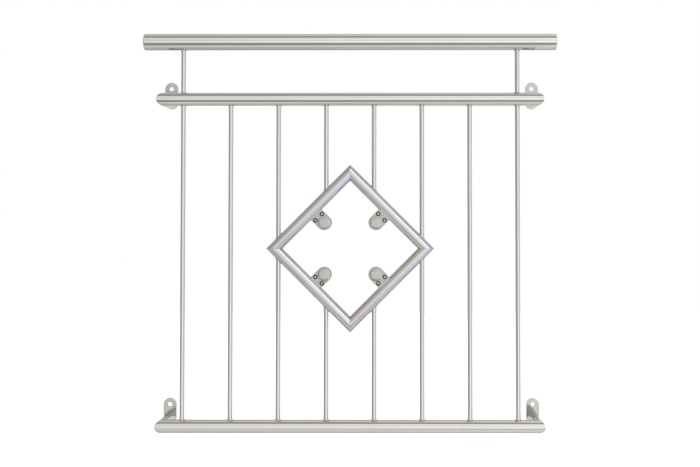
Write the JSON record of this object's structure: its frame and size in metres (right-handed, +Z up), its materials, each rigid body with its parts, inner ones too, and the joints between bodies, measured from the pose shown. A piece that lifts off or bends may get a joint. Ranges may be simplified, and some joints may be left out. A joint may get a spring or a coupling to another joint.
{
  "type": "juliet balcony railing",
  "caption": "Wall-fixed juliet balcony railing of round steel tube: handrail, upright bars between two mitred rails, and a diamond frame with pane clamps in the middle.",
  "frame": {"origin": "back face of the lower left wall lug, on the axis of the arm it carries", "axes": "+X to the right along the railing as seen from outside, +Y out of the lug's back face into the wall, +Z up"},
  "size_m": [1.0681, 0.1112, 1.0292],
  "materials": {
    "satin_steel": "satin ground tube",
    "bar_steel": "satin round bar",
    "polished_steel": "polished tube",
    "lug_steel": "satin flat plate",
    "clamp_steel": "satin cast steel",
    "pad_rubber": "matt black rubber"
  },
  "bodies": {
    "root": {"bar_1": "bar_steel", "bar_2": "bar_steel", "bar_3_lower": "bar_steel", "bar_3_upper": "bar_steel", "bar_4_lower": "bar_steel", "bar_4_upper": "bar_steel", "bar_5_lower": "bar_steel", "bar_5_upper": "bar_steel", "bar_6_lower": "bar_steel", "bar_6_upper": "bar_steel", "bar_7": "bar_steel", "bar_8": "bar_steel", "diamond_lower_left_tube": "polished_steel", "diamond_lower_right_tube": "polished_steel", "diamond_upper_left_tube": "polished_steel", "diamond_upper_right_tube": "polished_steel", "handrail": "satin_steel", "handrail_cap_left": "satin_steel", "handrail_cap_right": "satin_steel", "handrail_post_left": "bar_steel", "handrail_post_right": "bar_steel", "lower_left_arm": "satin_steel", "lower_left_clamp_body": "clamp_steel", "lower_left_clamp_cover": "clamp_steel", "lower_left_clamp_pads": "pad_rubber", "lower_left_lug": "lug_steel", "lower_rail": "satin_steel", "lower_right_arm": "satin_steel", "lower_right_clamp_body": "clamp_steel", "lower_right_clamp_cover": "clamp_steel", "lower_right_clamp_pads": "pad_rubber", "lower_right_lug": "lug_steel", "upper_left_arm": "satin_steel", "upper_left_clamp_body": "clamp_steel", "upper_left_clamp_cover": "clamp_steel", "upper_left_clamp_pads": "pad_rubber", "upper_left_lug": "lug_steel", "upper_rail": "satin_steel", "upper_right_arm": "satin_steel", "upper_right_clamp_body": "clamp_steel", "upper_right_clamp_cover": "clamp_steel", "upper_right_clamp_pads": "pad_rubber", "upper_right_lug": "lug_steel"}
  },
  "joints": []
}
